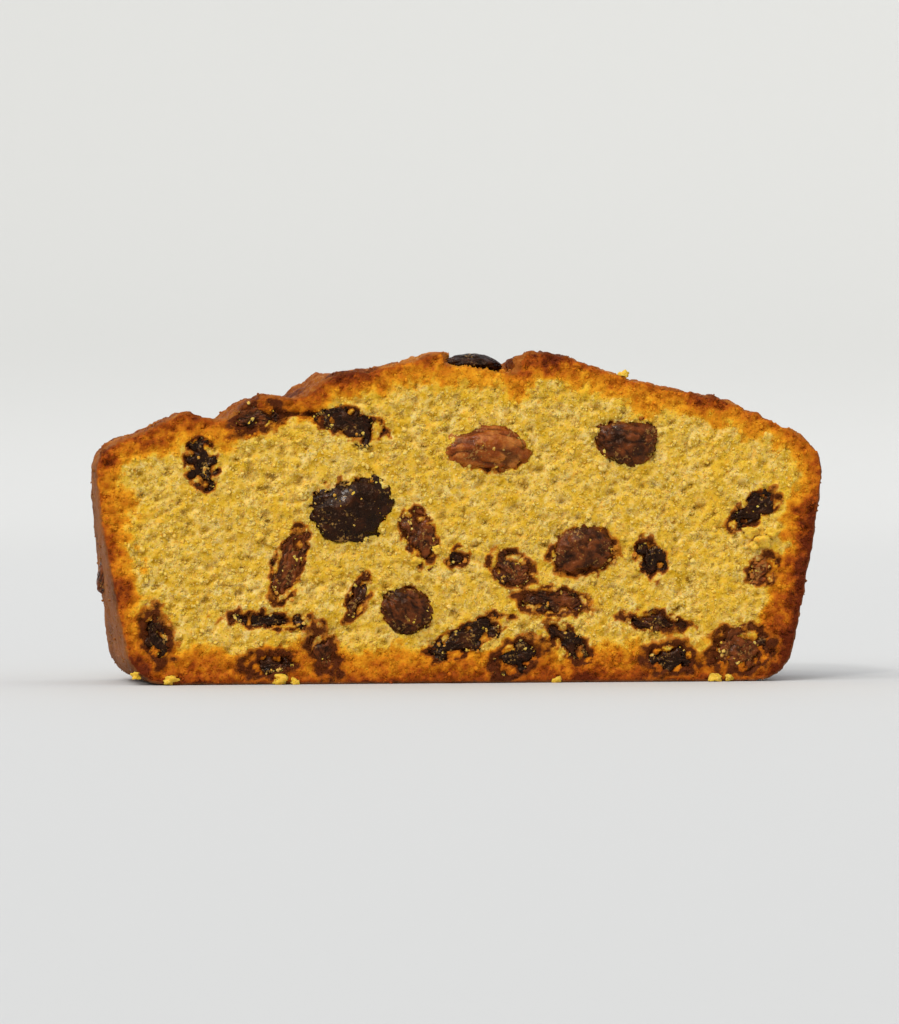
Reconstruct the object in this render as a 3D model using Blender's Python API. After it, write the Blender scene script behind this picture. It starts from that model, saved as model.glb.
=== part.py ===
"""A slice of fruit loaf cake, standing on its base crust as it was baked.

+Z is up, X runs across the loaf and Y along it. The slice rests on Z = 0, centred on the origin, and its
two cut faces look along -Y, the front, and +Y, the back. The cake is one solid with a pocket for each
dried fruit that shows at a face or in the crust, and every such fruit is a solid of its own.
"""

import math
from collections import namedtuple

import bmesh
import bpy
from mathutils import Matrix, Vector

MM = 0.001

# The slice
THICKNESS = 25 * MM
BASE_HALF_WIDTH = 51.8 * MM
RIM_HALF_WIDTH = 56.4 * MM
BASE_CORNER = 6 * MM
RIM_HEIGHT = 33 * MM
WALL_BULGE = 0.5 * MM
LEFT_RIM_TAPER = 2.0 * MM

# The baked top, from the left rim to the right one, at the front face. The crust has burst along the
# middle: a flap ends at the left of the crack, and a rolled lip begins at its right. Towards the back the
# crack wanders to the right, and the rest of the crust rises and falls in waves.
TOP_LEFT = [(-55.6, 35.2), (-52.4, 37.0), (-47.4, 38.9), (-43.8, 40.9), (-41.2, 40.9), (-38.6, 40.2),
            (-36.0, 40.5), (-34.2, 42.1), (-31.0, 43.9), (-27.6, 43.4), (-24.2, 43.9), (-20.0, 47.0),
            (-15.8, 47.6), (-10.2, 48.6), (-4.6, 50.2), (-2.5, 50.4)]
CRACK_FLOOR = [(-2.0, 48.3), (3.0, 47.9), (8.0, 47.2)]
TOP_RIGHT = [(8.2, 49.5), (9.8, 50.3), (13.0, 50.5), (17.2, 49.8), (23.2, 47.5), (31.0, 45.3),
             (38.8, 43.9), (46.2, 41.2), (52.6, 38.0), (55.4, 35.6)]
CRACK_WANDER = 2.6 * MM
CRACK_TURN = math.radians(144)
CRACK_REACH = 18 * MM
TOP_UNEVENNESS = 0.7 * MM
WAVE_STEP = 9 * MM
WAVE_DRIFT = 2.2
SECTIONS = 4
CORNER_STEPS = 4
WALL_STEPS = 4

# The fruit
FRUIT_GAP = 0.3 * MM
WHOLE_PROUD = 1.6 * MM
SLICED_BURIED_SHARE = 0.12
FOLD_DEPTH = 0.07
GOLDEN_ANGLE = math.radians(137.5)

# One fruit in a cut face, in millimetres and degrees: the middle of what shows, its long and short sides,
# how deep it goes in, its turn up from the X axis, and whether the knife passed it or cut through it.
Fruit = namedtuple("Fruit", "name x z length height depth turn sliced")

FRONT_FRUIT = [
    Fruit("raisin_upper_left", -40.0, 33.2, 8.2, 5.2, 5.5, 100, True),
    Fruit("raisin_under_flap", -17.3, 39.3, 10.6, 5.0, 6.0, -12, True),
    Fruit("sultana_top_middle", 3.7, 35.4, 13.4, 7.4, 7.5, -8, False),
    Fruit("raisin_round", 25.7, 37.1, 10.0, 7.6, 7.5, 8, False),
    Fruit("raisin_large", -17.2, 27.0, 14.2, 10.8, 8.5, 8, False),
    Fruit("raisin_upright", -26.8, 18.2, 12.2, 4.6, 5.5, 70, True),
    Fruit("raisin_middle", -6.8, 22.4, 9.4, 5.4, 6.5, -68, True),
    Fruit("raisin_middle_scrap", -0.8, 19.3, 3.8, 2.6, 3.0, 12, True),
    Fruit("raisin_pair_upper", 18.6, 19.9, 10.8, 7.2, 7.5, 14, False),
    Fruit("raisin_pair_left", 7.5, 17.4, 7.2, 4.8, 5.0, -20, True),
    Fruit("raisin_pair_lower", 14.0, 12.4, 10.4, 4.2, 6.0, -4, True),
    Fruit("raisin_right_middle", 29.2, 18.8, 7.0, 4.6, 5.5, -60, True),
    Fruit("raisin_right", 45.3, 26.4, 9.4, 4.4, 5.5, 32, True),
    Fruit("raisin_flat_left", -29.4, 9.8, 12.8, 2.8, 5.0, -3, True),
    Fruit("raisin_small_round", -8.6, 11.2, 8.4, 7.0, 6.5, -12, False),
    Fruit("raisin_thin_diagonal", -16.3, 13.0, 7.4, 2.8, 4.0, 65, True),
    Fruit("raisin_long_diagonal", 0.4, 6.8, 14.4, 4.4, 5.5, 27, True),
    Fruit("raisin_lower_middle", 16.4, 6.2, 9.0, 3.8, 5.0, -42, True),
    Fruit("raisin_flat_right", 29.8, 9.4, 10.0, 2.8, 4.5, -8, True),
    Fruit("raisin_left_corner", -47.0, 7.2, 6.6, 3.6, 5.0, -70, True),
    Fruit("raisin_base_dark", 8.2, 3.8, 7.4, 4.8, 6.0, 32, True),
    Fruit("raisin_right_corner", 43.6, 4.9, 9.2, 6.6, 6.5, 15, True),
    Fruit("raisin_base_left", -29.6, 3.0, 5.8, 3.0, 4.0, 8, True),
    Fruit("raisin_base_notch", -21.8, 5.0, 5.8, 2.9, 4.0, -65, True),
    Fruit("raisin_base_right", 32.2, 3.5, 7.2, 4.2, 5.5, 8, True),
    Fruit("sultana_right_edge", 46.9, 17.2, 5.4, 4.6, 5.0, 30, True),
    Fruit("raisin_top_crust", -31.8, 40.5, 6.8, 3.8, 5.5, 14, True),
]

BACK_FRUIT = [
    Fruit("raisin_back_high_left", -33.0, 33.5, 9.6, 5.8, 6.0, 24, True),
    Fruit("raisin_back_high_middle", -7.5, 39.0, 11.4, 7.6, 7.0, -14, False),
    Fruit("sultana_back_high_right", 21.0, 36.5, 11.0, 6.2, 6.5, 18, True),
    Fruit("raisin_back_edge_right", 44.5, 30.0, 8.4, 4.8, 5.5, -50, True),
    Fruit("raisin_back_edge_left", -46.5, 20.0, 8.0, 4.4, 5.0, 78, True),
    Fruit("raisin_back_large", 8.5, 26.5, 13.4, 9.8, 8.5, -22, False),
    Fruit("raisin_back_middle_left", -22.0, 21.5, 11.0, 5.6, 6.0, 35, True),
    Fruit("raisin_back_middle_right", 31.0, 20.5, 9.2, 6.6, 6.5, 12, True),
    Fruit("raisin_back_low_left", -37.0, 9.0, 12.0, 4.0, 5.0, -10, True),
    Fruit("raisin_back_low_middle", -10.5, 9.5, 9.2, 7.0, 6.5, 15, False),
    Fruit("raisin_back_thin", 3.0, 14.2, 8.4, 3.2, 4.0, -58, True),
    Fruit("raisin_back_low_right", 19.5, 8.0, 13.0, 4.4, 5.5, 16, True),
    Fruit("raisin_back_base_left", -25.0, 3.8, 7.2, 4.0, 5.0, 6, True),
    Fruit("raisin_back_base_right", 41.0, 6.6, 9.2, 6.0, 6.0, -24, True),
]

# One fruit baked into the crust, in millimetres and degrees: where its middle lies in X, Y and Z, its three
# sides, and how it leans in the XZ plane.
CrustFruit = namedtuple("CrustFruit", "name x y z length width height turn")

CRUST_FRUIT = [
    CrustFruit("raisin_in_crack", 2.2, -7.4, 48.5, 8.4, 6.4, 2.8, -2),
    CrustFruit("raisin_on_top_right", 33.0, 4.2, 43.4, 9.0, 6.6, 4.4, -14),
    CrustFruit("raisin_in_left_side", -52.6, 3.6, 16.8, 6.8, 5.6, 3.4, 80),
    CrustFruit("raisin_in_right_side", 52.9, -1.5, 19.0, 7.2, 5.8, 3.4, -80),
]

# Colours are linear RGB.
CRUMB = ("crumb", (0.62, 0.37, 0.055), 0.8)
RAISIN = ("raisin", (0.045, 0.014, 0.005), 0.45)
SULTANA = ("sultana", (0.26, 0.075, 0.013), 0.4)


def clear_scene():
    for obj in list(bpy.data.objects):
        bpy.data.objects.remove(obj)


def plain_material(name, colour, roughness):
    material = bpy.data.materials.new(name)
    material.use_nodes = True
    shader = material.node_tree.nodes["Principled BSDF"]
    shader.inputs["Base Color"].default_value = (*colour, 1)
    shader.inputs["Roughness"].default_value = roughness
    shader.inputs["Metallic"].default_value = 0
    return material


def new_object(name, bm, material=None):
    bmesh.ops.recalc_face_normals(bm, faces=bm.faces)
    mesh = bpy.data.meshes.new(name)
    bm.to_mesh(mesh)
    bm.free()
    obj = bpy.data.objects.new(name, mesh)
    bpy.context.scene.collection.objects.link(obj)
    if material:
        mesh.materials.append(material)
    return obj


def wall_half_width(z):
    """Half the slice's width at height z: the tin's wall leans out, and the cake bulges a little from it."""
    share = (z - BASE_CORNER) / (RIM_HEIGHT - BASE_CORNER)
    leaning = BASE_HALF_WIDTH + (RIM_HALF_WIDTH - BASE_HALF_WIDTH) * share
    return leaning + WALL_BULGE * math.sin(share * math.pi)


def smooth_line(points):
    """The points with one more between each two, on the Catmull-Rom curve through them."""
    ends = [points[0], *points, points[-1]]
    line = []
    for before, start, end, after in zip(ends, ends[1:], ends[2:], ends[3:]):
        line.append(start)
        line.append((start + end) * 9 / 16 - (before + after) / 16)
    return [*line, points[-1]]


def top_line(share):
    """The baked top from left to right. share is 0 at the front face and 1 at the back one: the crack
    wanders to one side on its way, the crust rises and falls a little, and the left rim draws in."""
    line = []
    for piece in (TOP_LEFT, CRACK_FLOOR, TOP_RIGHT):
        line += smooth_line([Vector((x, z)) * MM for x, z in piece])
    moved = []
    for x, z in line:
        near_crack = max(0.0, 1 - (x / CRACK_REACH) ** 2)
        wave = math.sin(x / WAVE_STEP + WAVE_DRIFT * share) - math.sin(x / WAVE_STEP)
        lift = TOP_UNEVENNESS * wave * (1 - (x / RIM_HALF_WIDTH) ** 2)
        if near_crack:
            lift = min(0.0, lift * share)
        wander = CRACK_WANDER * near_crack * math.sin(CRACK_TURN * share)
        taper = LEFT_RIM_TAPER * share * max(0.0, -x / RIM_HALF_WIDTH) ** 4
        moved.append((x + wander + taper, z + lift))
    return moved


def wall_line():
    """The right wall from the rim down to the flat of the base."""
    line = []
    for step in range(WALL_STEPS + 1):
        z = RIM_HEIGHT + (BASE_CORNER - RIM_HEIGHT) * step / WALL_STEPS
        line.append((wall_half_width(z), z))
    for step in range(1, CORNER_STEPS + 1):
        angle = step / CORNER_STEPS * math.pi / 2
        x = BASE_HALF_WIDTH - BASE_CORNER * (1 - math.cos(angle))
        line.append((x, BASE_CORNER * (1 - math.sin(angle))))
    return line


def section(share):
    """The closed outline of the slice, clockwise from the left end of its top."""
    right = wall_line()
    left = []
    for x, z in reversed(right):
        taper = LEFT_RIM_TAPER * share * max(0.0, z - BASE_CORNER) / (RIM_HEIGHT - BASE_CORNER)
        left.append((taper - x, z))
    return [*top_line(share), *right, *left]


def make_cake(material):
    bm = bmesh.new()
    rings = []
    for number in range(SECTIONS):
        share = number / (SECTIONS - 1)
        y = (share - 0.5) * THICKNESS
        rings.append([bm.verts.new((x, y, z)) for x, z in section(share)])
    for front, back in zip(rings, rings[1:]):
        for i, corner in enumerate(front):
            bm.faces.new((front[i - 1], corner, back[i], back[i - 1]))
    bm.faces.new(rings[0])
    bm.faces.new(rings[-1])
    return new_object("cake", bm, material)


def fruit_form(sides, number):
    """A dried fruit about the origin: an ellipsoid with soft folds along its length, exactly as long, deep
    and high as sides says."""
    bm = bmesh.new()
    bmesh.ops.create_icosphere(bm, subdivisions=2, radius=1)
    phase = number * GOLDEN_ANGLE
    for vert in bm.verts:
        around = math.atan2(vert.co.z, vert.co.y)
        fold = math.cos(3 * around + phase) + 0.6 * math.sin(2 * around + 3 * vert.co.x + phase)
        vert.co *= 1 + FOLD_DEPTH * fold
        vert.co.z += FOLD_DEPTH * math.cos(2.4 * vert.co.x + phase)
    for axis in range(3):
        low = min(vert.co[axis] for vert in bm.verts)
        high = max(vert.co[axis] for vert in bm.verts)
        for vert in bm.verts:
            vert.co[axis] = ((vert.co[axis] - low) / (high - low) - 0.5) * sides[axis]
    return bm


def place(bm, turn, middle):
    bmesh.ops.rotate(bm, verts=bm.verts, matrix=Matrix.Rotation(-math.radians(turn), 3, "Y"))
    bmesh.ops.translate(bm, verts=bm.verts, vec=middle)


def trim_at_face(bm, outward):
    """Cuts a fruit off flush with the cut face that looks along outward."""
    face_y = outward * THICKNESS / 2
    cut = bmesh.ops.bisect_plane(
        bm,
        geom=[*bm.verts, *bm.edges, *bm.faces],
        plane_co=(0, face_y, 0),
        plane_no=(0, outward, 0),
        clear_outer=True,
    )
    rim = [item for item in cut["geom_cut"] if isinstance(item, bmesh.types.BMEdge)]
    bmesh.ops.contextual_create(bm, geom=rim)


def add_fruit(name, sides, turn, middle, number, material, cake, outward=0):
    """Makes the fruit and cuts its pocket, a gap wider all round, out of the cake. outward is the Y
    direction of the cut face that a sliced fruit ends at, and 0 for a whole fruit."""
    form = fruit_form(sides, number)
    place(form, turn, middle)
    if outward:
        trim_at_face(form, outward)
    fruit = new_object(name, form, material)
    fruit.data.shade_smooth()

    pocket_form = fruit_form([side + 2 * FRUIT_GAP for side in sides], number)
    place(pocket_form, turn, middle)
    pocket = new_object(name + "_pocket", pocket_form)
    pocket.hide_render = True
    pocket.display_type = "WIRE"
    cut = cake.modifiers.new(name + "_pocket", "BOOLEAN")
    cut.operation = "DIFFERENCE"
    cut.solver = "EXACT"
    cut.object = pocket


def add_face_fruit(fruit, number, outward, materials, cake):
    sides = [side * MM for side in (fruit.length, fruit.depth, fruit.height)]
    if fruit.sliced:
        inward = sides[1] * SLICED_BURIED_SHARE
    else:
        inward = sides[1] / 2 - WHOLE_PROUD
    middle = (fruit.x * MM, outward * (THICKNESS / 2 - inward), fruit.z * MM)
    cut_face = outward if fruit.sliced else 0
    kind = fruit.name.split("_")[0]
    add_fruit(fruit.name, sides, fruit.turn, middle, number, materials[kind], cake, cut_face)


def add_crust_fruit(fruit, number, materials, cake):
    sides = [side * MM for side in (fruit.length, fruit.width, fruit.height)]
    middle = (fruit.x * MM, fruit.y * MM, fruit.z * MM)
    add_fruit(fruit.name, sides, fruit.turn, middle, number, materials["raisin"], cake)


def main():
    clear_scene()
    materials = {kind[0]: plain_material(*kind) for kind in (RAISIN, SULTANA)}
    cake = make_cake(plain_material(*CRUMB))
    for number, fruit in enumerate(FRONT_FRUIT):
        add_face_fruit(fruit, number, -1, materials, cake)
    for number, fruit in enumerate(BACK_FRUIT, len(FRONT_FRUIT)):
        add_face_fruit(fruit, number, 1, materials, cake)
    for number, fruit in enumerate(CRUST_FRUIT, len(FRONT_FRUIT) + len(BACK_FRUIT)):
        add_crust_fruit(fruit, number, materials, cake)


main()
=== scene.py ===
"""A slice of raisin loaf cake, cut on both faces and standing on its base crust.

The slice is made in millimetres and turned to metres at the end of each piece. X runs across the loaf, Y
along it and Z up, as in the frame. The front cut face looks along -Y.
"""

import math

import bmesh
import bpy
import numpy as np
from mathutils import Matrix, Vector, noise
from mathutils.bvhtree import BVHTree


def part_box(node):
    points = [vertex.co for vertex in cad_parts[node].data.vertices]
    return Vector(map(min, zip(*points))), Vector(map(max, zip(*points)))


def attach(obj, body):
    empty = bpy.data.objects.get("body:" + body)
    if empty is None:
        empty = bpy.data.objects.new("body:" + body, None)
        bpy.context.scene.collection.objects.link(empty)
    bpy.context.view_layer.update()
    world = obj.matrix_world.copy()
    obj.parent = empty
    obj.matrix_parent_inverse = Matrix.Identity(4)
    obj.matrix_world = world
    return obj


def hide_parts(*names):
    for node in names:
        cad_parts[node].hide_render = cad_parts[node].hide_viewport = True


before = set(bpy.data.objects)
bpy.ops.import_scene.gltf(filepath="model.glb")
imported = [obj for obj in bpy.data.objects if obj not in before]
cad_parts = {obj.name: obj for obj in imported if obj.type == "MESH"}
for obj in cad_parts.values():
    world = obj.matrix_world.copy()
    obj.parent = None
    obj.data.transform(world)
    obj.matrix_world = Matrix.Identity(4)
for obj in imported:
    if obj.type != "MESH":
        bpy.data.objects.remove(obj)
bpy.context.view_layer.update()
MM = 0.001

# ---------------------------------------------------------------------------------------------------------
# The slice of cake. It is baked in a loaf tin and cut from the loaf: an open yellow crumb inside a crust
# that turns golden, then brown towards the outside, and that has burst along the middle of its top.
# ---------------------------------------------------------------------------------------------------------

CUT_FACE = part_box("cake")[1][1] / MM

# The steps of the fine mesh on the cut faces, how much shorter its block is along the loaf while it is
# made, so that its steps come out longer there, and the steps along the outline
CRUMB_STEP = 0.39
SIDE_STEP_SHARE = 0.62
OUTLINE_STEP = 0.9

# A sliced fruit's whole shape, from what is left of it: how far behind the face its middle lies and how
# large its half depth is, both as shares of half the depth that is left. A fruit that the knife passed
# spreads a little over its pocket.
SLICED_MIDDLE = 0.39
SLICED_WHOLE = 1.6
WHOLE_SPREAD = 1.13

# How deep the crust goes, how much deeper or shallower it is in places, and the heights at the rim between
# which a wall turns into the top
CRUST_DEPTH = 6.0
DEEPER_AT_BASE = 0.6
DEEPER_AT_RIGHT = 0.6
SHALLOWER_ON_TOP = 0.9
SHALLOWER_IN_CRACK = 1.6
WALL_ENDS = 33.0
TOP_STARTS = 36.0

# How far the crack's middle lies from the raisin in it, and how far its edges wander
CRACK_SHIFT = 0.6
CRACK_RAGGED = 1.5

# How deep the torn face, its pores, the fold under the flap and the fruit's pockets go in
TORN_DEPTH = 0.50
PORE_DEPTH = 0.50
FINE_PORE_DEPTH = 0.40
FOLD_DEPTH = 0.9
POCKET_DEPTH = 0.9


def cut_edge(face_y):
    """The outline of the cut face at face_y, read from the cake's solid: (x, z) points in millimetres."""
    solid = bmesh.new()
    solid.from_mesh(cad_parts["cake"].data)
    bmesh.ops.remove_doubles(solid, verts=solid.verts, dist=0.01 * MM)
    cut = {face for face in solid.faces if all(abs(v.co.y / MM - face_y) < 0.05 for v in face.verts)}
    ways = {}
    for edge in solid.edges:
        if sum(face in cut for face in edge.link_faces) == 1:
            start, end = edge.verts
            ways.setdefault(start.index, []).append(end.index)
            ways.setdefault(end.index, []).append(start.index)
    solid.verts.ensure_lookup_table()
    place = {index: (solid.verts[index].co.x / MM, solid.verts[index].co.z / MM) for index in ways}
    solid.free()
    here = min(place, key=lambda index: place[index][0] + place[index][1])
    walk = [here]
    onward = max(ways[here], key=lambda index: place[index][1])
    while onward != walk[0]:
        walk.append(onward)
        onward = next(index for index in ways[onward] if index != walk[-2])
    return np.array([place[index] for index in walk])


def evenly(outline, count):
    """The closed outline again, with count points at equal steps along it."""
    closed = np.vstack([outline, outline[:1]])
    along = np.concatenate([[0], np.cumsum(np.linalg.norm(np.diff(closed, axis=0), axis=1))])
    stops = np.linspace(0, along[-1], count, endpoint=False)
    return np.column_stack([np.interp(stops, along, closed[:, axis]) for axis in (0, 1)])


def soft_noise(points, size, seed):
    """Smooth noise from about -1 to 1, in lumps about size across."""
    shift = np.array((17.3, 7.9, 29.1)) * seed
    return np.array([noise.noise(point) for point in (points / size + shift).tolist()])


def grains(points, size, seed):
    """How far each point is from the middle of its grain and from the next grain's, in grain sizes, and a
    tone from 0 to 1 that is the same all over a grain."""
    shift = np.array((11.7, 23.9, 5.3)) * seed
    found = [noise.voronoi(point) for point in (points / size + shift).tolist()]
    nearest = np.array([distances[0] for distances, middles in found])
    second = np.array([distances[1] for distances, middles in found])
    tone = np.array([noise.cell(middles[0] * 3.7) for distances, middles in found])
    return nearest, second, (tone + 1) / 2


def rise(low, high, values):
    """0 up to low, 1 from high on, and a smooth rise between them."""
    share = np.clip((values - low) / (high - low), 0, 1)
    return share * share * (3 - 2 * share)


def fruit_place(node):
    """Where a fruit lies in the cake, read from its solid, in millimetres: its middle, its turn in the XZ
    plane, its half length, half depth and half height, and the way out of the face that it is sliced at."""
    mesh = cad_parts[node].data
    flat = np.empty(len(mesh.vertices) * 3)
    mesh.vertices.foreach_get("co", flat)
    points = np.unique(np.round(flat.reshape(-1, 3) / MM, 3), axis=0)
    low, high = points.min(axis=0), points.max(axis=0)
    middle = (low + high) / 2
    seen = points[:, (0, 2)] - middle[[0, 2]]
    long_way = np.linalg.eigh(np.cov(seen.T))[1][:, 1]
    across = np.array((-long_way[1], long_way[0]))
    reach = np.column_stack([seen @ long_way, seen @ across])
    shift = (reach.max(axis=0) + reach.min(axis=0)) / 2
    middle[[0, 2]] += shift[0] * long_way + shift[1] * across
    halves = np.array((np.ptp(reach[:, 0]), high[1] - low[1], np.ptp(reach[:, 1]))) / 2
    outward_y = 0
    if min(abs(low[1] + CUT_FACE), abs(high[1] - CUT_FACE)) < 0.02:
        outward_y = math.copysign(1, middle[1])
        middle[1] = outward_y * (CUT_FACE - SLICED_MIDDLE * halves[1])
        halves[1] *= SLICED_WHOLE
    elif abs(middle[1]) > CUT_FACE / 2:
        halves[[0, 2]] *= WHOLE_SPREAD
    return middle, math.atan2(long_way[1], long_way[0]), halves, outward_y


def smeared(points, share):
    """How far crumb is smeared over a sliced fruit: in patches near its edge, and not at all at its middle.
    share is 0 at the middle of the fruit and 1 at its skin."""
    return rise(0.02, 0.32, soft_noise(points * (1, 0, 1), 1.5, 18)) * rise(0.30, 0.80, share)


fruits = {name: fruit_place(name) for name in sorted(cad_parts) if name != "cake"}

front_edge = cut_edge(-CUT_FACE)
back_edge = cut_edge(CUT_FACE)
edge_count = int(np.linalg.norm(np.diff(front_edge, axis=0), axis=1).sum() / OUTLINE_STEP)
front_edge = evenly(front_edge, edge_count)
back_edge = evenly(back_edge, edge_count)


def cake_block():
    """The slice as a plain block between its two outlines, and a tree of its crust surface alone."""
    block = bmesh.new()
    rings = []
    for edge, y in ((front_edge, -CUT_FACE), (back_edge, CUT_FACE)):
        rings.append([block.verts.new((x, y, z)) for x, z in edge])
    for i in range(edge_count):
        block.faces.new((rings[0][i - 1], rings[0][i], rings[1][i], rings[1][i - 1]))
    block.faces.ensure_lookup_table()
    crust_corners = [tuple(vert.co) for ring in rings for vert in ring]
    crust_faces = [
        (i - 1 if i else edge_count - 1, i, i + edge_count, i - 1 + edge_count if i else 2 * edge_count - 1)
        for i in range(edge_count)
    ]
    block.faces.new(rings[0])
    block.faces.new(rings[1])
    bmesh.ops.recalc_face_normals(block, faces=block.faces)
    bmesh.ops.scale(block, vec=(1, SIDE_STEP_SHARE, 1), verts=block.verts)
    mesh = bpy.data.meshes.new("cake_block")
    block.to_mesh(mesh)
    block.free()
    return mesh, BVHTree.FromPolygons(crust_corners, crust_faces)


def finished_mesh(piece):
    """The piece's mesh with its modifiers in it."""
    bpy.context.view_layer.update()
    shown = piece.evaluated_get(bpy.context.evaluated_depsgraph_get())
    return bpy.data.meshes.new_from_object(shown)


def new_piece(name, mesh):
    piece = bpy.data.objects.new(name, mesh)
    bpy.context.scene.collection.objects.link(piece)
    return piece


block_mesh, crust_tree = cake_block()
cake = new_piece("cake_slice", block_mesh)
remesh = cake.modifiers.new("fine_steps", "REMESH")
remesh.mode = "VOXEL"
remesh.voxel_size = CRUMB_STEP
cake.data = finished_mesh(cake)
cake.modifiers.clear()
cake.data.transform(Matrix.Diagonal((1, 1 / SIDE_STEP_SHARE, 1, 1)))


def corners(mesh):
    flat = np.empty(len(mesh.vertices) * 3)
    mesh.vertices.foreach_get("co", flat)
    return flat.reshape(-1, 3)


def corner_normals(mesh):
    flat = np.empty(len(mesh.vertices) * 3)
    mesh.vertex_normals.foreach_get("vector", flat)
    return flat.reshape(-1, 3)


def keep_values(mesh, name, values):
    attribute = mesh.attributes.new(name, "FLOAT", "POINT")
    attribute.data.foreach_set("value", values.astype(np.float32))


start = corners(cake.data)
outward = corner_normals(cake.data)
nearest = [crust_tree.find_nearest(point) for point in start.tolist()]
crust_depth = np.array([found[3] for found in nearest])
crust_spot = np.array([tuple(found[0]) for found in nearest])

# Where the crust is thick and dark: more at the base, the right wall, the flap and the lip, and hardly in
# the burst crack
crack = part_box("raisin_in_crack")
crack_middle = (crack[0][0] + crack[1][0]) / 2 / MM + CRACK_SHIFT
crack_half = (crack[1][0] - crack[0][0]) / 2 / MM
on_face = rise(0.45, 0.9, np.abs(outward[:, 1])) * rise(0.15, 0.9, crust_depth)
on_crust = 1 - on_face
near_base = 1 - rise(1.0, 6.0, crust_spot[:, 2])
near_top = rise(WALL_ENDS, TOP_STARTS, crust_spot[:, 2])
right_wall = rise(46.0, 52.0, crust_spot[:, 0]) * (1 - near_top)
in_crack = (1 - rise(crack_half * 0.9, crack_half * 1.25, np.abs(crust_spot[:, 0] - crack_middle))) * near_top
lip = (1 - rise(2.0, 9.0, np.abs(crust_spot[:, 0] - crack_middle - crack_half - 6))) * near_top
crust_thick = CRUST_DEPTH + DEEPER_AT_BASE * near_base - SHALLOWER_ON_TOP * near_top
crust_thick = crust_thick + DEEPER_AT_RIGHT * right_wall - SHALLOWER_IN_CRACK * in_crack
crust_thick *= 1 + 0.40 * soft_noise(crust_spot * (1, 0.5, 1), 8, 1)
drift = 2.2 * soft_noise(start, 3.2, 2) + 1.5 * soft_noise(start, 1.3, 3)
bake = 1 - np.clip((crust_depth + drift * rise(0.2, 2.5, crust_depth)) / crust_thick, 0, 1)
bake *= 1 - 0.45 * in_crack
scorch = rise(0.05, 0.5, soft_noise(crust_spot * (1, 0.4, 1), 5.0, 14)) * (1 - in_crack)
scorch += 1.2 * right_wall * (1 - rise(20, 32, start[:, 2])) + 0.35 * right_wall + 0.35 * near_base
flap_side = near_top * (1 - rise(-22.0, -12.0, crust_spot[:, 0]))
scorch = np.clip(scorch + 0.75 * lip + 0.40 * flap_side + 0.20 * near_base, 0, 1.5)
scorch *= rise(0.0, 0.4, bake)


def stain_reach(name, sliced):
    """How far juice has browned the cake round a fruit: furthest round those in the hot crust."""
    if any(word in name for word in ("crust", "base", "corner")):
        return 2.4
    if "pair" in name or "edge" in name:
        return 1.2
    return 0.8 if sliced else 0.5


# How near each point of the surface is to a fruit, 0 at its middle and 1 at its skin, and how stained it is
ragged = 0.34 * soft_noise(start, 1.2, 4) + 0.24 * soft_noise(start, 2.8, 5)
fruit_near = np.full(len(start), 9.0)
stain_and_fold_shade = np.zeros(len(start))
for name, (middle, turn, halves, sliced) in fruits.items():
    local = start - middle
    along = local[:, 0] * math.cos(turn) + local[:, 2] * math.sin(turn)
    across = local[:, 2] * math.cos(turn) - local[:, 0] * math.sin(turn)
    share = np.sqrt((along / halves[0]) ** 2 + (across / halves[2]) ** 2 + (local[:, 1] / halves[1]) ** 2)
    past_skin = (share - 0.9) * min(halves)
    fruit_near = np.minimum(fruit_near, share)
    reach = stain_reach(name, sliced)
    stain_and_fold_shade = np.maximum(stain_and_fold_shade, 1 - rise(0.0, reach, past_skin + 2.2 * ragged * reach ** 0.5))
smear = smeared(start, fruit_near)
stain_and_fold_shade *= 1 - 0.75 * smear * (fruit_near < 1)
socket = (1 - rise(0.80, 0.96, fruit_near + ragged)) * (1 - smear)

# The flap of crust has come away from the crumb under it, from one fruit to the next. The fold is sunk in and
# given painted shade.
flap_start = np.array(fruits["raisin_top_crust"][0])[[0, 2]] + (2.5, 0.2)
flap_end = np.array(fruits["raisin_under_flap"][0])[[0, 2]] + (-4.0, 1.8)
way = flap_end - flap_start
share = np.clip(((start[:, (0, 2)] - flap_start) @ way) / (way @ way), 0, 1)
from_fold = np.linalg.norm(start[:, (0, 2)] - flap_start - share[:, None] * way, axis=1)
fold = (1 - rise(0.2, 0.9, from_fold + 1.2 * ragged)) * (start[:, 1] < 0)

fine_mid, _, fine_tone = grains(start, 1.0, 6)
wavy = start * (1, 1, 1.2) + 0.5 * soft_noise(start, 1.5, 15)[:, None]
large_mid, large_next, large_tone = grains(wavy, 2.0, 7)
pore = rise(0.45, 0.8, large_tone) * (1 - rise(0.15, 0.55, large_mid))
pore_fine = rise(0.35, 0.7, fine_tone) * (1 - rise(0.1, 0.55, fine_mid))

torn = soft_noise(start * (1, 1, 1.25), 1.15, 17)
relief = 0.32 * soft_noise(start * (1, 0.4, 1), 11, 8)
relief += 0.30 * soft_noise(start, 4.0, 9)
relief += 0.26 * soft_noise(start, 1.8, 10)
relief -= TORN_DEPTH * rise(0.10, 0.55, torn)
relief += 0.14 * soft_noise(start, 0.8, 16)
relief -= PORE_DEPTH * pore + FINE_PORE_DEPTH * pore_fine + FOLD_DEPTH * fold
relief *= 1 - socket
relief -= POCKET_DEPTH * socket

crust_relief = 0.38 * soft_noise(start, 4.5, 11) + 0.42 * soft_noise(start, 2.1, 12) * (0.35 + 0.8 * near_top)
crust_relief += 0.14 * soft_noise(start, 1.0, 13)
crust_relief -= 0.35 * (1 - rise(0.0, 0.14, large_next - large_mid)) * near_top
crust_relief = crust_relief * (1 - socket) - POCKET_DEPTH * socket
crust_relief *= rise(0.1, 1.2, start[:, 2])
crust_relief -= 0.25 * pore_fine * (1 - near_top)

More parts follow.
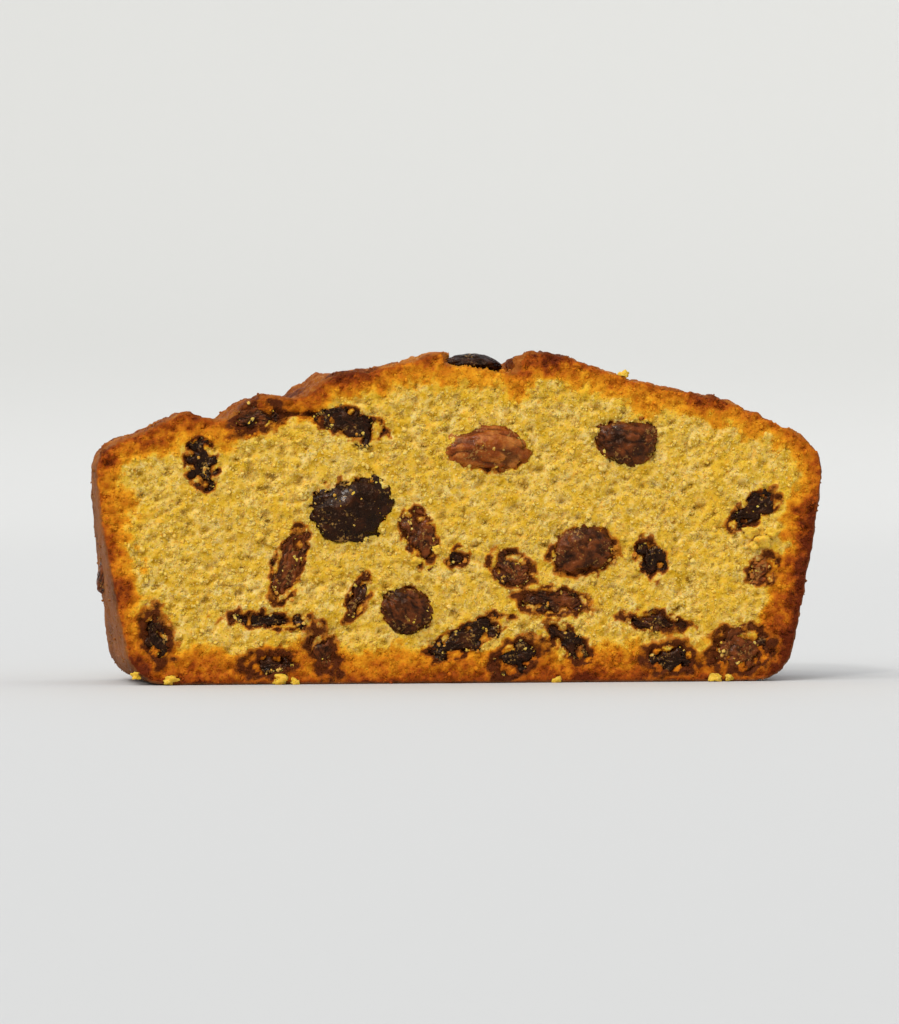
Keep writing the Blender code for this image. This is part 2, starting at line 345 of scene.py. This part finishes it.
moved = start + outward * (relief * on_face + crust_relief * on_crust)[:, None]
by_crack_edge = 1 - rise(1.5, 4.5, np.abs(np.abs(start[:, 0] - crack_middle) - crack_half))
wander = CRACK_RAGGED * soft_noise(start * (1, 1, 0.3), 2.6, 21)
moved[:, 0] += wander * by_crack_edge * rise(43.0, 47.0, start[:, 2])
moved[:, 2] = np.maximum(moved[:, 2], 0.0)
cake.data.vertices.foreach_set("co", (moved * MM).ravel())
cake.data.update()
cake.data.shade_smooth()

keep_values(cake.data, "bake", bake)
keep_values(cake.data, "scorch", scorch)
keep_values(cake.data, "tone", 0.6 * fine_tone + 0.4 * large_tone)
# Where the cut face is pitted or torn, for painted shade there in the material
pit_shade = on_face * (pore + 0.8 * pore_fine + 0.45 * rise(0.2, 0.6, torn))
keep_values(cake.data, "pit_shade", np.clip(pit_shade, 0, 1))
keep_values(cake.data, "outside", on_crust * (1 - rise(0.3, 0.8, crust_depth)) * (1 - 0.25 * in_crack))
ragged_rim = crust_spot[:, 2] + 2.6 * soft_noise(start, 3.4, 22)
keep_values(cake.data, "top", rise(31.5, 36.5, ragged_rim))
# The stain value also carries painted shade: the fold under the flap is darkened along its length
keep_values(cake.data, "stain_and_fold_shade", np.maximum(stain_and_fold_shade, 0.9 * fold))
crumbly = (on_face + on_crust * (0.03 + 0.5 * in_crack)) * (1 - socket) * rise(0.2, 0.5, start[:, 2])
keep_values(cake.data, "crumbly", crumbly)


def new_material(name):
    material = bpy.data.materials.new(name)
    material.use_nodes = True
    return material, material.node_tree, material.node_tree.nodes["Principled BSDF"]


def add_node(tree, kind, inputs=(), **settings):
    """A node of the kind, with its settings, and its inputs set or linked by number or name."""
    node = tree.nodes.new(kind)
    for name, value in settings.items():
        setattr(node, name, value)
    for key, value in dict(inputs).items():
        if isinstance(value, bpy.types.NodeSocket):
            tree.links.new(value, node.inputs[key])
        else:
            node.inputs[key].default_value = value
    return node


def add_ramp(tree, factor, stops):
    """A colour ramp over factor, with stops of (place, linear colour)."""
    ramp = add_node(tree, "ShaderNodeValToRGB", {0: factor})
    elements = ramp.color_ramp.elements
    while len(elements) < len(stops):
        elements.new(0.5)
    for element, (place, colour) in zip(elements, stops):
        element.position = place
        element.color = (*colour, 1)
    return ramp.outputs["Color"]


def add_value(tree, name):
    return add_node(tree, "ShaderNodeAttribute", attribute_name=name).outputs["Fac"]


def add_noise(tree, size, detail=3.0, roughness=0.55, seed=0.0):
    """Noise on the object's own coordinates, from 0 to 1, with lumps about size metres across."""
    place = add_node(tree, "ShaderNodeTexCoord").outputs["Object"]
    shift = (seed, seed * 0.7, -seed)
    shifted = add_node(tree, "ShaderNodeMapping", {"Vector": place, "Location": shift}).outputs[0]
    inputs = {"Vector": shifted, "Scale": 1 / size, "Detail": detail, "Roughness": roughness}
    return add_node(tree, "ShaderNodeTexNoise", inputs).outputs["Fac"]


def add_math(tree, operation, *values):
    inputs = dict(enumerate(values))
    return add_node(tree, "ShaderNodeMath", inputs, operation=operation).outputs[0]


def add_vector(tree, operation, inputs):
    return add_node(tree, "ShaderNodeVectorMath", inputs, operation=operation).outputs[0]


def add_mix(tree, share, first, second):
    inputs = {"Factor": share, 6: first, 7: second}
    return add_node(tree, "ShaderNodeMix", inputs, data_type="RGBA").outputs[2]


def add_range(tree, value, low, high, to_low=0.0, to_high=1.0):
    inputs = {0: value, 1: low, 2: high, 3: to_low, 4: to_high}
    return add_node(tree, "ShaderNodeMapRange", inputs, interpolation_type="SMOOTHSTEP").outputs[0]


def add_pits(tree, size, seed):
    """1 in the middle of small uneven pits about size metres apart and 0 between them."""
    place = add_node(tree, "ShaderNodeTexCoord").outputs["Object"]
    waves = {"Vector": place, "Scale": 1.4 / size, "Detail": 2.0}
    bend = add_node(tree, "ShaderNodeTexNoise", waves).outputs["Color"]
    bend = add_vector(tree, "SCALE", {0: bend, "Scale": size})
    bent = add_vector(tree, "ADD", {0: place, 1: bend})
    bent = add_vector(tree, "ADD", {0: bent, 1: (seed, seed, seed)})
    cells = add_node(tree, "ShaderNodeTexVoronoi", {"Vector": bent, "Scale": 1 / size})
    deep = add_range(tree, cells.outputs["Distance"], 0.12, 0.46, 1.0, 0.0)
    chosen = add_range(tree, cells.outputs["Color"], 0.45, 0.60)
    return add_math(tree, "MULTIPLY", deep, chosen)


def cake_material():
    """Yellow crumb with paler grains and painted olive-brown shade in its pits and torn dips, then gold,
    orange and brown crust.
    """
    material, tree, shader = new_material("baked_crumb")
    bake_value = add_value(tree, "bake")
    fine = add_noise(tree, 0.0004, 3.0)
    patch = add_noise(tree, 0.006, 3.0, seed=0.3)
    speck = add_noise(tree, 0.0010, 3.0, seed=0.9)
    pits = add_pits(tree, 0.0008, 0.2)
    tone = add_math(tree, "MULTIPLY_ADD", add_value(tree, "tone"), 0.34, 0.00)
    tone = add_math(tree, "MULTIPLY_ADD", fine, 0.35, tone)
    tone = add_math(tree, "MULTIPLY_ADD", speck, 0.45, tone)
    crumb = add_ramp(tree, tone, [
        (0.22, (0.36, 0.168, 0.002)), (0.38, (0.59, 0.325, 0.009)), (0.54, (0.75, 0.476, 0.056)),
        (0.76, (0.88, 0.700, 0.285)),
    ])
    butter = add_range(tree, patch, 0.46, 0.68, 0.0, 0.5)
    crumb = add_mix(tree, butter, crumb, (0.77, 0.450, 0.022, 1))
    # Painted shade: the crumb turns olive-brown in its pits and torn dips
    pit_shade = add_math(tree, "MULTIPLY_ADD", pits, 0.55, add_value(tree, "pit_shade"))
    crumb = add_mix(tree, add_range(tree, pit_shade, 0.15, 1.1, 0.0, 0.6), crumb, (0.40, 0.195, 0.003, 1))
    browning = add_math(tree, "MULTIPLY_ADD", speck, 0.9, bake_value)
    browning = add_math(tree, "MULTIPLY_ADD", add_value(tree, "scorch"), 0.32, browning)
    browning = add_math(tree, "MULTIPLY_ADD", browning, 0.8, -0.42)
    crust = add_ramp(tree, browning, [
        (0.0, (0.84, 0.480, 0.032)), (0.26, (0.76, 0.310, 0.012)), (0.56, (0.60, 0.180, 0.006)),
        (0.75, (0.38, 0.074, 0.003)), (0.96, (0.13, 0.018, 0.002)),
    ])
    colour = add_mix(tree, add_range(tree, browning, -0.14, 0.20), crumb, crust)
    # Juice stains brown the crumb, darkest right at a fruit; along the fold under the flap the same darkening
    # is painted shade
    stain_and_fold_shade = add_math(tree, "MULTIPLY_ADD", speck, 0.9, add_value(tree, "stain_and_fold_shade"))
    colour = add_mix(tree, add_range(tree, stain_and_fold_shade, 0.60, 0.95, 0.0, 0.85), colour, (0.46, 0.115, 0.005, 1))
    colour = add_mix(tree, add_range(tree, stain_and_fold_shade, 0.90, 1.30, 0.0, 0.95), colour, (0.075, 0.014, 0.003, 1))
    skin = add_range(tree, add_value(tree, "outside"), 0.5, 1.0, 0.0, 0.75)
    mottle = add_math(tree, "MULTIPLY_ADD", speck, 0.5, add_math(tree, "MULTIPLY", patch, 0.5))
    wall = add_ramp(tree, mottle, [(0.36, (0.10, 0.036, 0.010)), (0.56, (0.24, 0.098, 0.032))])
    mottle = add_math(tree, "MULTIPLY_ADD", add_value(tree, "scorch"), -0.13, mottle)
    top = add_ramp(tree, mottle, [(0.33, (0.10, 0.023, 0.004)), (0.45, (0.29, 0.082, 0.009)),
                                  (0.60, (0.48, 0.180, 0.024))])
    colour = add_mix(tree, skin, colour, add_mix(tree, add_value(tree, "top"), wall, top))
    tree.links.new(colour, shader.inputs["Base Color"])
    roughness = add_range(tree, browning, 0.3, 0.8, 0.85, 0.6)
    tree.links.new(roughness, shader.inputs["Roughness"])
    shader.inputs["Specular IOR Level"].default_value = 0.08
    shader.inputs["Subsurface Weight"].default_value = 0.3
    shader.inputs["Subsurface Radius"].default_value = (1.0, 0.6, 0.15)
    shader.inputs["Subsurface Scale"].default_value = 0.0010
    height = add_math(tree, "MULTIPLY_ADD", add_noise(tree, 0.00018, 2.0, seed=0.5), 0.3, fine)
    height = add_math(tree, "MULTIPLY_ADD", pits, -1.0, height)
    bump = add_node(tree, "ShaderNodeBump", {"Strength": 0.7, "Distance": 0.00025, "Height": height})
    tree.links.new(bump.outputs[0], shader.inputs["Normal"])
    return material


crumb_material = cake_material()
cake.data.materials.append(crumb_material)
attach(cake, "root")
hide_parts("cake")

# ---------------------------------------------------------------------------------------------------------
# The dried fruit: raisins with a dark, furrowed skin and paler sultanas, baked into the cake. The knife
# has passed some whole and cut through others, whose flesh lies flush with the face.
# ---------------------------------------------------------------------------------------------------------

RAISIN_ROWS = 40
RAISIN_AROUND = 60

# Shares of a fruit's own size: how deep it is furrowed, how far it is out of round, whole or sliced, and how
# far it bends. A sultana's furrows are broader than a raisin's, and its lumps are higher, by SULTANA_PLUMP.
FURROW_DEPTH = 0.09
WHOLE_LUMPS = 0.10
SLICED_LUMPS = 0.34
SULTANA_PLUMP = 1.7
FRUIT_BEND = 0.18

# A sliced fruit's flesh in the face: how far in it lies, how deep its furrows stay, how far the crumb
# smeared over it sinks it, and how much of its bulge the knife took
FLESH_INSET = 0.30
FLESH_FURROWS = 3.0
SMEAR_DEPTH = 1.1
KNIFE_SHARE = 0.93

# How brown each fruit's skin is, from 0, nearly black, to 1, red-brown. The others' is chosen by number.
RIPE = {
    "raisin_large": 0.0, "raisin_flat_left": 0.0, "raisin_left_corner": 0.0, "raisin_under_flap": 0.1,
    "raisin_upper_left": 0.1, "raisin_base_dark": 0.0, "raisin_lower_middle": 0.1, "raisin_round": 0.70,
    "raisin_long_diagonal": 0.2, "raisin_small_round": 0.6, "raisin_pair_upper": 0.8, "raisin_pair_left": 0.8,
    "raisin_pair_lower": 0.7, "raisin_upright": 1.0, "raisin_middle": 0.9, "raisin_thin_diagonal": 0.8,
    "raisin_top_crust": 0.7, "raisin_in_crack": 0.0,
}


def fruit_grid(rows, around):
    """A unit ball with its poles at both ends of X, as corners and faces."""
    tilt = np.linspace(0, math.pi, rows + 1)[1:-1]
    spin = np.linspace(0, 2 * math.pi, around, endpoint=False)
    x = np.repeat(-np.cos(tilt), around)
    y = np.outer(np.sin(tilt), np.cos(spin)).ravel()
    z = np.outer(np.sin(tilt), np.sin(spin)).ravel()
    ball = np.vstack([np.column_stack([x, y, z]), (-1, 0, 0), (1, 0, 0)])
    faces = []
    for row in range(rows - 2):
        for k in range(around):
            here = row * around + k
            beside = row * around + (k + 1) % around
            faces.append((here, here + around, beside + around, beside))
    first_pole = len(ball) - 2
    last_ring = (rows - 2) * around
    for k in range(around):
        beside = (k + 1) % around
        faces.append((first_pole, k, beside))
        faces.append((first_pole + 1, last_ring + beside, last_ring + k))
    return ball, faces


ball_corners, ball_faces = fruit_grid(RAISIN_ROWS, RAISIN_AROUND)


def furrowed(ball, seed, depth):
    """How far out each corner of the ball stands: long furrows that run together, with finer ones between."""
    warp = np.column_stack([soft_noise(ball, 0.8, seed + shift) for shift in (0.1, 0.2, 0.3)])
    bent = ball + 0.30 * warp
    long_folds = np.abs(soft_noise(bent * (0.8, 1.7, 1.7), 0.42, seed + 0.4))
    fine_folds = np.abs(soft_noise(bent * (1.0, 1.5, 1.5), 0.20, seed + 0.5))
    return 1 - depth * (1 - rise(0, 0.30, long_folds)) - 0.45 * depth * (1 - rise(0, 0.32, fine_folds))


def make_fruit(node, seed, material):
    middle, turn, halves, sliced = fruits[node]
    plump = SULTANA_PLUMP if node.startswith("sultana") else 1.0
    stand_out = furrowed(ball_corners / plump, seed, FURROW_DEPTH)
    lumps = SLICED_LUMPS if sliced else WHOLE_LUMPS * plump
    lump = 1.04 + lumps * soft_noise(ball_corners * (1, 0.5, 1), 0.8, seed + 0.7)
    shape = ball_corners * (stand_out * lump)[:, None] * halves
    shape[:, 2] += FRUIT_BEND * halves[2] * math.sin(seed) * (2 * ball_corners[:, 0] ** 2 - 1)
    place = np.array(shape)
    place[:, 0] = shape[:, 0] * math.cos(turn) - shape[:, 2] * math.sin(turn)
    place[:, 2] = shape[:, 0] * math.sin(turn) + shape[:, 2] * math.cos(turn)
    place += middle
    rim = np.zeros(len(place))
    if sliced:
        flat = place * (1, 0, 1)
        level = CUT_FACE - FLESH_INSET + 0.42 * soft_noise(flat, 2.4, seed)
        level += 0.16 * soft_noise(flat, 0.8, seed)
        from_middle = np.hypot(ball_corners[:, 0], ball_corners[:, 2])
        level -= FLESH_FURROWS * (1 - stand_out) + SMEAR_DEPTH * smeared(place, from_middle)
        past = sliced * place[:, 1] - level
        rim = 0.8 * (1 - rise(0.0, 0.9, past))
        place[:, 1] -= sliced * np.maximum(0, past) * KNIFE_SHARE
        for axis in (0, 2):
            place[:, axis] += 0.75 * soft_noise(flat + 40 * axis, 2.4, seed)
            place[:, axis] += 0.34 * soft_noise(flat + 40 * axis, 0.9, seed)
    place[:, 2] = np.maximum(place[:, 2], 0.15)
    mesh = bpy.data.meshes.new(node)
    mesh.from_pydata((place * MM).tolist(), [], ball_faces)
    mesh.update()
    # Painted shade: how deep each corner lies in a furrow, for darkening it there
    keep_values(mesh, "furrow_shade", np.clip((1.0 - stand_out) / 0.11, 0, 1))
    ripe = RIPE.get(node, (math.sin(seed * 2.4) + 1) / 2)
    keep_values(mesh, "ripe", np.full(len(place), ripe))
    dusty = rise(0.12, 0.45, soft_noise(place, 1.7, seed + 0.8))
    facing_out = rise(-1.2, 0.0, np.abs(place[:, 1]) - CUT_FACE)
    keep_values(mesh, "crumbly", np.clip(dusty + rim, 0, 1) * facing_out * (1.0 if sliced else 0.3))
    mesh.shade_smooth()
    mesh.materials.append(material)
    fruit = new_piece("fruit_" + node, mesh)
    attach(fruit, "root")
    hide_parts(node)
    return fruit


def fruit_material(name, dark, mid, light, gloss):
    """Sticky dried flesh, with painted shade darkening its furrows, and crumbs smeared over it in places."""
    material, tree, shader = new_material(name)
    tint = add_math(tree, "MULTIPLY_ADD", add_value(tree, "ripe"), 0.36, add_noise(tree, 0.0022, 4.0))
    tint = add_math(tree, "SUBTRACT", tint, 0.18)
    colour = add_ramp(tree, tint, [(0.3, dark), (0.52, mid), (0.72, light)])
    # Painted shade darkens the fruit in its furrows
    colour = add_mix(tree, add_range(tree, add_value(tree, "furrow_shade"), 0.35, 1.0, 0.0, 0.75), colour,
                     (*[c * 0.35 for c in dark], 1))
    fine_dust = add_noise(tree, 0.0004, 2.0, seed=0.2)
    dust = add_math(tree, "MULTIPLY", fine_dust, add_noise(tree, 0.0025, 2.0, seed=0.6))
    dust = add_range(tree, dust, 0.31, 0.40, 0.0, 0.6)
    colour = add_mix(tree, dust, colour, (0.42, 0.22, 0.05, 1))
    tree.links.new(colour, shader.inputs["Base Color"])
    tree.links.new(add_range(tree, dust, 0.0, 1.0, gloss, 0.85), shader.inputs["Roughness"])
    shader.inputs["Subsurface Weight"].default_value = 0.12
    shader.inputs["Subsurface Radius"].default_value = (1.0, 0.35, 0.12)
    shader.inputs["Subsurface Scale"].default_value = 0.001
    shader.inputs["Specular IOR Level"].default_value = 0.18
    shader.inputs["Specular Tint"].default_value = (1.0, 0.56, 0.32, 1)
    shader.inputs["Coat Weight"].default_value = 0.10
    shader.inputs["Coat Roughness"].default_value = 0.10
    height = add_noise(tree, 0.0010, 2.0, seed=0.7)
    bump = add_node(tree, "ShaderNodeBump", {"Strength": 0.9, "Distance": 0.0006, "Height": height})
    tree.links.new(bump.outputs[0], shader.inputs["Normal"])
    return material


raisin_material = fruit_material(
    "raisin_skin", (0.011, 0.003, 0.001), (0.050, 0.012, 0.003), (0.18, 0.042, 0.008), 0.27)
sultana_material = fruit_material(
    "sultana_skin", (0.13, 0.022, 0.004), (0.27, 0.060, 0.008), (0.50, 0.17, 0.030), 0.22)
fruit_pieces = []
for number, node in enumerate(fruits):
    kind = sultana_material if node.startswith("sultana") else raisin_material
    fruit_pieces.append(make_fruit(node, 20 + number, kind))

# ---------------------------------------------------------------------------------------------------------
# Crumbs. The knife has torn the cut faces into small grains of crumb that still cling to them, to the
# browned crust and to the sticky fruit.
# ---------------------------------------------------------------------------------------------------------

# Grains on each square millimetre, the smallest and the largest in millimetres, and the seed
FINE_GRAINS = (3.8, 0.20, 0.50, 1)
ROUND_GRAINS = (0.34, 0.40, 0.95, 2)
GRAINS_ON_FRUIT = (1.8, 0.25, 0.80, 3)

# Most grains are small: the power that their chance of size is raised to. How far a grain's middle stands
# out of the surface, as a share of its radius, how far its shape is bent, in millimetres, and a whole turn
# in radians
SMALL_GRAIN_POWER = 2.2
GRAIN_STAND_OUT = 0.25
GRAIN_BEND = 0.5
FULL_TURN = 6.28


def add_between(tree, share, low, high):
    return add_node(tree, "ShaderNodeMapRange", {0: share, 3: low, 4: high}).outputs[0]


def add_random(tree, kind, inputs, number):
    """A random value of the kind for each grain, from the node's output of that number."""
    return add_node(tree, "FunctionNodeRandomValue", inputs, data_type=kind).outputs[number]


def crumb_tree(name, material, round_grains):
    """Grains scattered over a surface, more where its crumbly value is high, and partly sunk into it."""
    tree = bpy.data.node_groups.new(name, "GeometryNodeTree")
    face = tree.interface
    face.new_socket("Geometry", in_out="INPUT", socket_type="NodeSocketGeometry")
    for label in ("Grains per mm2", "Smallest mm", "Largest mm"):
        face.new_socket(label, in_out="INPUT", socket_type="NodeSocketFloat")
    face.new_socket("Seed", in_out="INPUT", socket_type="NodeSocketInt")
    face.new_socket("Geometry", in_out="OUTPUT", socket_type="NodeSocketGeometry")
    given = add_node(tree, "NodeGroupInput").outputs
    seed = given["Seed"]
    crumbly = add_node(
        tree, "GeometryNodeInputNamedAttribute", {"Name": "crumbly"}, data_type="FLOAT").outputs[0]
    per_square_metre = add_math(tree, "MULTIPLY", given["Grains per mm2"], 1 / MM ** 2)
    density = add_math(tree, "MULTIPLY", per_square_metre, crumbly)
    spread = add_node(tree, "GeometryNodeDistributePointsOnFaces",
                      {"Mesh": given["Geometry"], "Density": density, "Seed": seed},
                      distribute_method="RANDOM")
    chance = add_math(tree, "POWER", add_random(tree, "FLOAT", {"Seed": seed}, 1), SMALL_GRAIN_POWER)
    size = add_between(tree, chance, given["Smallest mm"], given["Largest mm"])
    radius = add_math(tree, "MULTIPLY", size, MM / 2)
    sides = {0: (0.75, 0.75, 0.55), 1: (1.35, 1.1, 1.0), "Seed": seed}
    uneven = add_random(tree, "FLOAT_VECTOR", sides, 0)
    scale = add_vector(tree, "SCALE", {0: uneven, "Scale": radius})
    turns = {0: (0, 0, 0), 1: (FULL_TURN, FULL_TURN, FULL_TURN), "Seed": seed}
    spin = add_random(tree, "FLOAT_VECTOR", turns, 0)
    stand_out = add_math(tree, "MULTIPLY", radius, GRAIN_STAND_OUT)
    lift = add_vector(tree, "SCALE", {0: spread.outputs["Normal"], "Scale": stand_out})
    lifted = add_node(tree, "GeometryNodeSetPosition", {"Geometry": spread.outputs["Points"], "Offset": lift})
    if round_grains:
        grain = add_node(tree, "GeometryNodeMeshIcoSphere", {"Radius": 1.0, "Subdivisions": 1})
    else:
        grain = add_node(tree, "GeometryNodeMeshUVSphere", {"Segments": 4, "Rings": 2, "Radius": 1.1})
    each = {"Points": lifted.outputs[0], "Instance": grain.outputs[0], "Rotation": spin, "Scale": scale}
    placed = add_node(tree, "GeometryNodeInstanceOnPoints", each)
    grain_tone = add_random(tree, "FLOAT", {2: 0.30, 3: 0.72, "Seed": seed}, 1)
    toned = add_node(tree, "GeometryNodeStoreNamedAttribute",
                     {"Geometry": placed.outputs[0], "Name": "tone", "Value": grain_tone},
                     data_type="FLOAT", domain="INSTANCE")
    solid = add_node(tree, "GeometryNodeRealizeInstances", {"Geometry": toned.outputs[0]})
    texture = add_node(tree, "ShaderNodeTexNoise", {"Scale": 1 / (0.45 * MM)})
    centred = add_vector(tree, "SUBTRACT", {0: texture.outputs["Color"], 1: (0.5, 0.5, 0.5)})
    push = add_vector(tree, "SCALE", {0: centred, "Scale": GRAIN_BEND * MM})
    bent = add_node(tree, "GeometryNodeSetPosition", {"Geometry": solid.outputs[0], "Offset": push})
    dressed = add_node(tree, "GeometryNodeSetMaterial", {"Geometry": bent.outputs[0], "Material": material})
    add_node(tree, "NodeGroupOutput", {0: dressed.outputs[0]})
    return tree


def scatter(name, ground, tree, per_mm2, smallest, largest, seed):
    """A piece of the tree's grains over the ground's mesh."""
    piece = new_piece(name, ground)
    growth = piece.modifiers.new("grains", "NODES")
    growth.node_group = tree
    given = {"Grains per mm2": per_mm2, "Smallest mm": smallest, "Largest mm": largest, "Seed": seed}
    for item in tree.interface.items_tree:
        if item.in_out == "INPUT" and item.name in given:
            growth[item.identifier] = given[item.name]
    mesh = finished_mesh(piece)
    piece.modifiers.clear()
    piece.data = mesh
    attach(piece, "root")
    return piece


def joined_mesh(name, pieces):
    """One mesh of all the pieces' surfaces, with their crumbly values and a light stain of juice."""
    corner_sets, face_sets, values, count = [], [], [], 0
    for piece in pieces:
        flat = np.empty(len(piece.data.vertices))
        piece.data.attributes["crumbly"].data.foreach_get("value", flat)
        values.append(flat)
        corner_sets.append(corners(piece.data))
        face_sets += [[v + count for v in face.vertices] for face in piece.data.polygons]
        count += len(flat)
    mesh = bpy.data.meshes.new(name)
    mesh.from_pydata(np.vstack(corner_sets).tolist(), [], face_sets)
    keep_values(mesh, "crumbly", np.concatenate(values))
    keep_values(mesh, "stain_and_fold_shade", np.full(count, 0.28))
    return mesh


def half_mesh(mesh, side):
    """A copy of the mesh that is crumbly only on the side of Y that side gives."""
    copy = mesh.copy()
    values = np.empty(len(mesh.vertices))
    mesh.attributes["crumbly"].data.foreach_get("value", values)
    values *= corners(mesh)[:, 1] * side > 0
    copy.attributes["crumbly"].data.foreach_set("value", values.astype(np.float32))
    return copy


fine_tree = crumb_tree("fine_crumb_grains", crumb_material, False)
round_tree = crumb_tree("round_crumb_grains", crumb_material, True)
for side, word in ((-1, "front"), (1, "back")):
    ground = half_mesh(cake.data, side)
    scatter("fine_crumbs_" + word, ground, fine_tree, *FINE_GRAINS)
    scatter("crumbs_" + word, ground, round_tree, *ROUND_GRAINS)
scatter("crumbs_on_fruit", joined_mesh("fruit_ground", fruit_pieces), round_tree, *GRAINS_ON_FRUIT)

# Larger crumbs that hang on singly: X, Y and Z near where each clings and its size across, in millimetres.
# Each stands out by a share of its size, and all are of one tone, hardly baked.
SINGLE_STAND_OUT = 0.2
SINGLE_TONE = 0.45
SINGLE_BAKE = 0.05
SINGLE_CRUMBS = [
    (25.5, -11.4, 48.0, 1.4), (-45.0, -12.9, 0.7, 1.7), (-28.0, -13.0, 0.7, 1.9), (-25.9, -12.9, 0.5, 1.2),
    (14.6, -13.0, 0.5, 1.2), (39.2, -12.9, 0.7, 1.6), (41.4, -12.9, 0.5, 1.1), (-50.4, -11.6, 1.0, 1.3),
    (44.8, -12.5, 22.8, 1.9), (46.4, -12.6, 21.6, 2.2), (48.0, -12.5, 22.6, 1.7), (45.2, -12.6, 20.8, 1.6),
    (-31.4, -12.6, 22.2, 1.5), (-7.4, -12.6, 18.6, 1.4), (-4.2, -12.6, 20.4, 1.3), (-39.4, 12.8, 0.8, 1.9),
    (3.5, 12.9, 0.8, 2.1), (24.0, 12.8, 0.7, 1.6),
]


def single_crumb(place, size, seed):
    """The corners and faces of one lumpy crumb."""
    form = bmesh.new()
    bmesh.ops.create_icosphere(form, subdivisions=3, radius=size / 2)
    ball = np.array([tuple(vert.co) for vert in form.verts])
    faces = [[vert.index for vert in face.verts] for face in form.faces]
    form.free()
    lumps = 1 + 0.8 * soft_noise(ball, 0.40 * size, seed) + 0.45 * soft_noise(ball, 0.18 * size, seed + 0.5)
    lumpy = ball * lumps[:, None] * (1.15, 0.9, 0.85) + place
    lumpy[:, 2] = np.maximum(lumpy[:, 2], 0.0)
    return lumpy, faces


cake_tree = BVHTree.FromPolygons(moved.tolist(), [face.vertices[:] for face in cake.data.polygons])
crumb_corners, crumb_faces = [], []
for number, (x, y, z, size) in enumerate(SINGLE_CRUMBS):
    spot, way_out = cake_tree.find_nearest((x, y, z))[:2]
    lumpy, faces = single_crumb(spot + way_out * size * SINGLE_STAND_OUT, size, 60 + number)
    crumb_faces += [[index + number * len(lumpy) for index in face] for face in faces]
    crumb_corners.append(lumpy)
single_mesh = bpy.data.meshes.new("single_crumbs")
single_mesh.from_pydata((np.vstack(crumb_corners) * MM).tolist(), [], crumb_faces)
keep_values(single_mesh, "tone", np.full(len(single_mesh.vertices), SINGLE_TONE))
keep_values(single_mesh, "bake", np.full(len(single_mesh.vertices), SINGLE_BAKE))
single_mesh.shade_smooth()
single_mesh.materials.append(crumb_material)
singles = new_piece("single_crumbs", single_mesh)
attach(singles, "root")

# ---------------------------------------------------------------------------------------------------------
# The table, the light and the camera. The table is a pale floor that rises all round into a pale wall, and
# soft daylight falls on it from a wide window at the front left.
# ---------------------------------------------------------------------------------------------------------

FLOOR_STEP = 0.4
FLOOR_RADIUS = 1.6
COVE_RADIUS = 1.2

def pale_table():
    """A wide pale floor whose rim rises all round in a soft cove."""
    ring_count = 96
    profile = [(0.0, 0.0)] + [(FLOOR_STEP * k, 0.0) for k in range(1, 5)]
    for lean in np.linspace(0.15, math.pi / 2, 10):
        profile.append((FLOOR_RADIUS + COVE_RADIUS * math.sin(lean), COVE_RADIUS * (1 - math.cos(lean))))
    table = bmesh.new()
    centre = table.verts.new((0, 0, 0))
    rings = []
    for radius, height in profile[1:]:
        ring = []
        for k in range(ring_count):
            angle = 2 * math.pi * k / ring_count
            ring.append(table.verts.new((radius * math.cos(angle), radius * math.sin(angle), height)))
        rings.append(ring)
    for k in range(ring_count):
        table.faces.new((centre, rings[0][k - 1], rings[0][k]))
        for inner, outer in zip(rings, rings[1:]):
            table.faces.new((inner[k - 1], outer[k - 1], outer[k], inner[k]))
    mesh = bpy.data.meshes.new("table")
    table.to_mesh(mesh)
    table.free()
    mesh.shade_smooth()
    material, tree, shader = new_material("pale_table")
    place = add_node(tree, "ShaderNodeTexCoord").outputs["Object"]
    height = add_node(tree, "ShaderNodeSeparateXYZ", {0: place})
    colour = add_ramp(tree, add_range(tree, height.outputs["Z"], 0.0, 0.12),
                      [(0.0, (0.61, 0.61, 0.595)), (1.0, (0.525, 0.525, 0.505))])
    tree.links.new(colour, shader.inputs["Base Color"])
    shader.inputs["Roughness"].default_value = 0.8
    shader.inputs["Specular IOR Level"].default_value = 0.2
    mesh.materials.append(material)
    return new_piece("table", mesh)


pale_table()


def daylight(name, way, strength, spread):
    """Sunlight through a wide window: way points from the cake to the light."""
    lamp = bpy.data.lights.new(name, "SUN")
    lamp.energy = strength
    lamp.angle = math.radians(spread)
    lamp.color = (1.0, 0.985, 0.96)
    light = bpy.data.objects.new(name, lamp)
    bpy.context.scene.collection.objects.link(light)
    light.rotation_euler = Vector(way).to_track_quat("Z", "Y").to_euler()


daylight("window", (-0.6, -0.75, 0.85), 1.9, 60)
daylight("window_middle", (-0.5, -0.85, 0.8), 0.55, 6)
world = bpy.data.worlds.new("room")
world.use_nodes = True
world.node_tree.nodes["Background"].inputs["Color"].default_value = (0.93, 0.95, 1.0, 1)
world.node_tree.nodes["Background"].inputs["Strength"].default_value = 0.84
bpy.context.scene.world = world
bpy.context.scene.view_settings.view_transform = "Standard"

camera_data = bpy.data.cameras.new("camera")
camera_data.sensor_width = 36
camera_data.lens = 172
camera = bpy.data.objects.new("camera", camera_data)
bpy.context.scene.collection.objects.link(camera)
camera.location = (-0.130, -0.7455, 0.031)
aim = Vector((0, 0, 0.026))
camera.rotation_euler = (aim - camera.location).to_track_quat("-Z", "Y").to_euler()
bpy.context.scene.camera = camera
